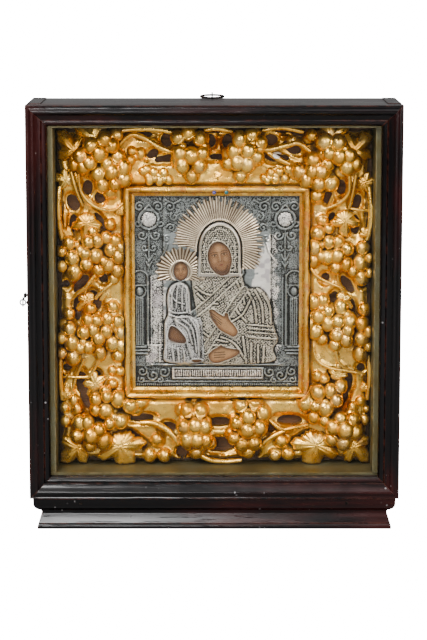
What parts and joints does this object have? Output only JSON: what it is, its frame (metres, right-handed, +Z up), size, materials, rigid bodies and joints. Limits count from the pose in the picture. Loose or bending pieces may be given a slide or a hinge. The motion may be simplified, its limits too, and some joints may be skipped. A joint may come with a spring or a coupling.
{
  "type": "icon panel",
  "caption": "Painted icon under an embossed metal cover in a pierced gilt vine carving, set in a dark glazed wooden case with a hinged door, on a moulded plinth.",
  "frame": {"origin": "middle of the plinth's underside", "axes": "+Z up, the glazed front faces -Y, +X to the viewer's right"},
  "size_m": [0.4412, 0.1069, 0.5057],
  "materials": {
    "dark_wood": "near-black varnish, worn reddish at the edges",
    "plain_wood": "bare aged wood",
    "bronze_paint": "olive bronze paint",
    "gilded_wood": "gold leaf on gesso, worn on the high places",
    "painted_board": "aged tempera",
    "silver": "embossed silver, blackened in the hollows",
    "pale_gold": "pale gilt metal, tarnished",
    "blue_stone": "polished violet-blue stone",
    "green_stone": "polished blue-green stone",
    "dark_iron": "dark, handled smooth",
    "clear_glass": "thin old window glass"
  },
  "bodies": {
    "case": {"case_top": "dark_wood", "case_bottom": "dark_wood", "case_left_side": "dark_wood", "case_right_side": "dark_wood", "back_board": "dark_wood", "plinth_front": "dark_wood", "plinth_left": "dark_wood", "plinth_right": "dark_wood", "plinth_back": "plain_wood", "base_board": "plain_wood", "backing_top": "plain_wood", "backing_bottom": "plain_wood", "backing_left": "plain_wood", "backing_right": "plain_wood", "lining_top": "bronze_paint", "lining_bottom": "bronze_paint", "lining_left": "bronze_paint", "lining_right": "bronze_paint", "carved_frame": "gilded_wood", "sight_moulding_top": "gilded_wood", "sight_moulding_bottom": "gilded_wood", "sight_moulding_left": "gilded_wood", "sight_moulding_right": "gilded_wood", "icon_board": "painted_board", "icon_cover": "silver", "mother_halo": "pale_gold", "child_halo": "pale_gold", "halo_stone_left": "blue_stone", "halo_stone_right": "green_stone", "plinth_screw_left": "dark_iron", "plinth_screw_right": "dark_iron", "hinge_upper_case_leaf": "dark_iron", "hinge_upper_pin": "dark_iron", "hinge_lower_case_leaf": "dark_iron", "hinge_lower_pin": "dark_iron", "hook_pivot_screw": "dark_iron", "hanger_staple": "dark_iron"},
    "door": {"door_top_rail": "dark_wood", "door_bottom_rail": "dark_wood", "door_left_stile": "dark_wood", "door_right_stile": "dark_wood", "glass_pane": "clear_glass", "glazing_bead_top": "dark_wood", "glazing_bead_bottom": "dark_wood", "glazing_bead_left": "dark_wood", "glazing_bead_right": "dark_wood", "hinge_upper_door_leaf": "dark_iron", "hinge_lower_door_leaf": "dark_iron", "door_eye": "dark_iron"},
    "hook": {"latch_hook": "dark_iron"},
    "ring": {"hanger_ring": "dark_iron"}
  },
  "joints": [
    {"name": "door_swing", "type": "hinge", "parent": "case", "child": "door", "pos_m": [0.2146, -0.0333, 0.2685], "axis": [0, 0, 1], "range_deg": [0, 120]},
    {"name": "latch_lift", "type": "hinge", "parent": "case", "child": "hook", "pos_m": [-0.2206, -0.0115, 0.2722], "axis": [-1, 0, 0], "range_deg": [0, 100]},
    {"name": "ring_swing", "type": "hinge", "parent": "case", "child": "ring", "pos_m": [-0.0025, 0.0495, 0.502], "axis": [-1, 0, 0], "range_deg": [0, 100]}
  ]
}
